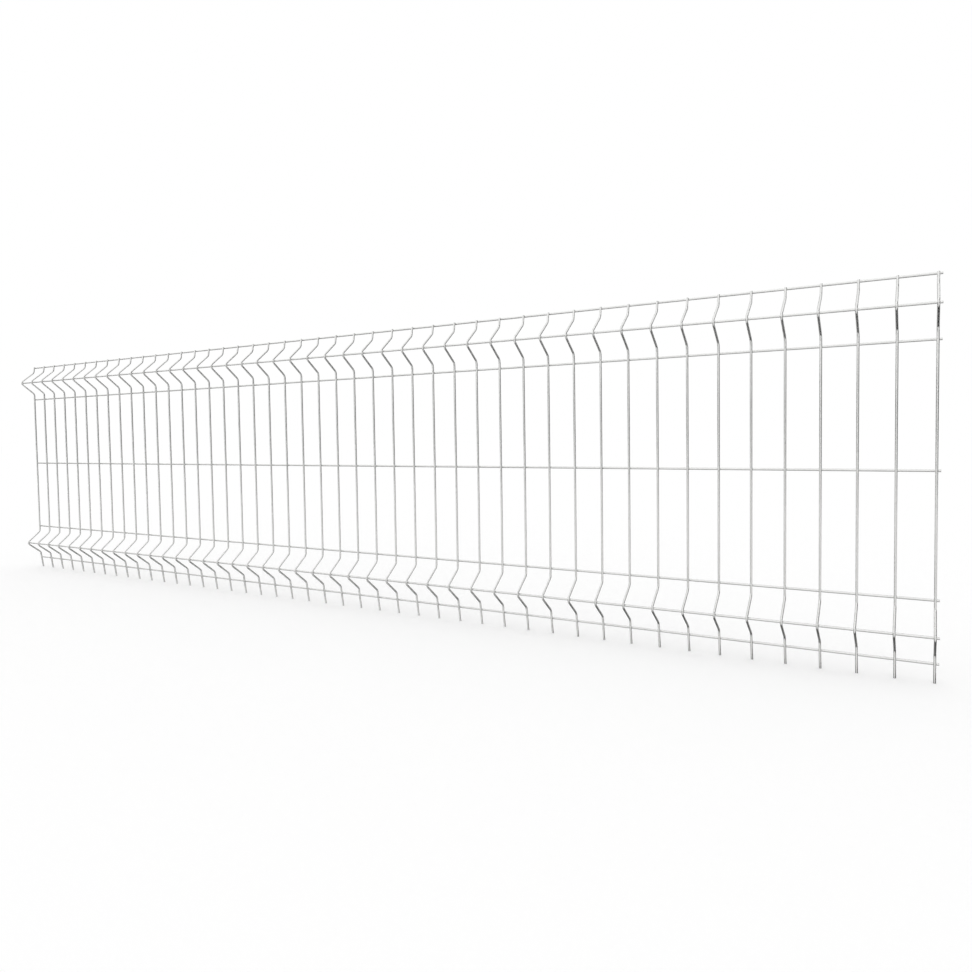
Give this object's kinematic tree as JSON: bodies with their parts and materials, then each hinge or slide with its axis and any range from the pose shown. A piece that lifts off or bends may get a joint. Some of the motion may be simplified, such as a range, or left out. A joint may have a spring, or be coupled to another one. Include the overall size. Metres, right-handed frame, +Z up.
{
  "type": "welded mesh fence panel",
  "caption": "Low, wide fence panel of welded zinc-coated steel wire, stiffened by two V folds along its length, with wire spikes below the bottom line wire.",
  "frame": {"origin": "under the middle of the panel's length and half way through its depth, level with the spike tips", "axes": "+X along the panel, +Z up, and the folds bulge towards -Y"},
  "size_m": [2.487, 0.0456, 0.632],
  "materials": {
    "zinc_wire": "drawn steel wire with a bright zinc coat, satin",
    "weld": "resistance weld, dull and slightly darker than the wire"
  },
  "bodies": {
    "root": {"vertical_wire_01": "zinc_wire", "vertical_wire_02": "zinc_wire", "vertical_wire_03": "zinc_wire", "vertical_wire_04": "zinc_wire", "vertical_wire_05": "zinc_wire", "vertical_wire_06": "zinc_wire", "vertical_wire_07": "zinc_wire", "vertical_wire_08": "zinc_wire", "vertical_wire_09": "zinc_wire", "vertical_wire_10": "zinc_wire", "vertical_wire_11": "zinc_wire", "vertical_wire_12": "zinc_wire", "vertical_wire_13": "zinc_wire", "vertical_wire_14": "zinc_wire", "vertical_wire_15": "zinc_wire", "vertical_wire_16": "zinc_wire", "vertical_wire_17": "zinc_wire", "vertical_wire_18": "zinc_wire", "vertical_wire_19": "zinc_wire", "vertical_wire_20": "zinc_wire", "vertical_wire_21": "zinc_wire", "vertical_wire_22": "zinc_wire", "vertical_wire_23": "zinc_wire", "vertical_wire_24": "zinc_wire", "vertical_wire_25": "zinc_wire", "vertical_wire_26": "zinc_wire", "vertical_wire_27": "zinc_wire", "vertical_wire_28": "zinc_wire", "vertical_wire_29": "zinc_wire", "vertical_wire_30": "zinc_wire", "vertical_wire_31": "zinc_wire", "vertical_wire_32": "zinc_wire", "vertical_wire_33": "zinc_wire", "vertical_wire_34": "zinc_wire", "vertical_wire_35": "zinc_wire", "vertical_wire_36": "zinc_wire", "vertical_wire_37": "zinc_wire", "vertical_wire_38": "zinc_wire", "vertical_wire_39": "zinc_wire", "vertical_wire_40": "zinc_wire", "vertical_wire_41": "zinc_wire", "vertical_wire_42": "zinc_wire", "vertical_wire_43": "zinc_wire", "vertical_wire_44": "zinc_wire", "vertical_wire_45": "zinc_wire", "vertical_wire_46": "zinc_wire", "top_line_wire": "zinc_wire", "upper_fold_line_wire": "zinc_wire", "upper_field_line_wire": "zinc_wire", "middle_line_wire": "zinc_wire", "lower_field_line_wire": "zinc_wire", "lower_fold_line_wire": "zinc_wire", "bottom_line_wire": "zinc_wire", "top_welds": "weld", "upper_fold_welds": "weld", "upper_field_welds": "weld", "middle_welds": "weld", "lower_field_welds": "weld", "lower_fold_welds": "weld", "bottom_welds": "weld"}
  },
  "joints": []
}
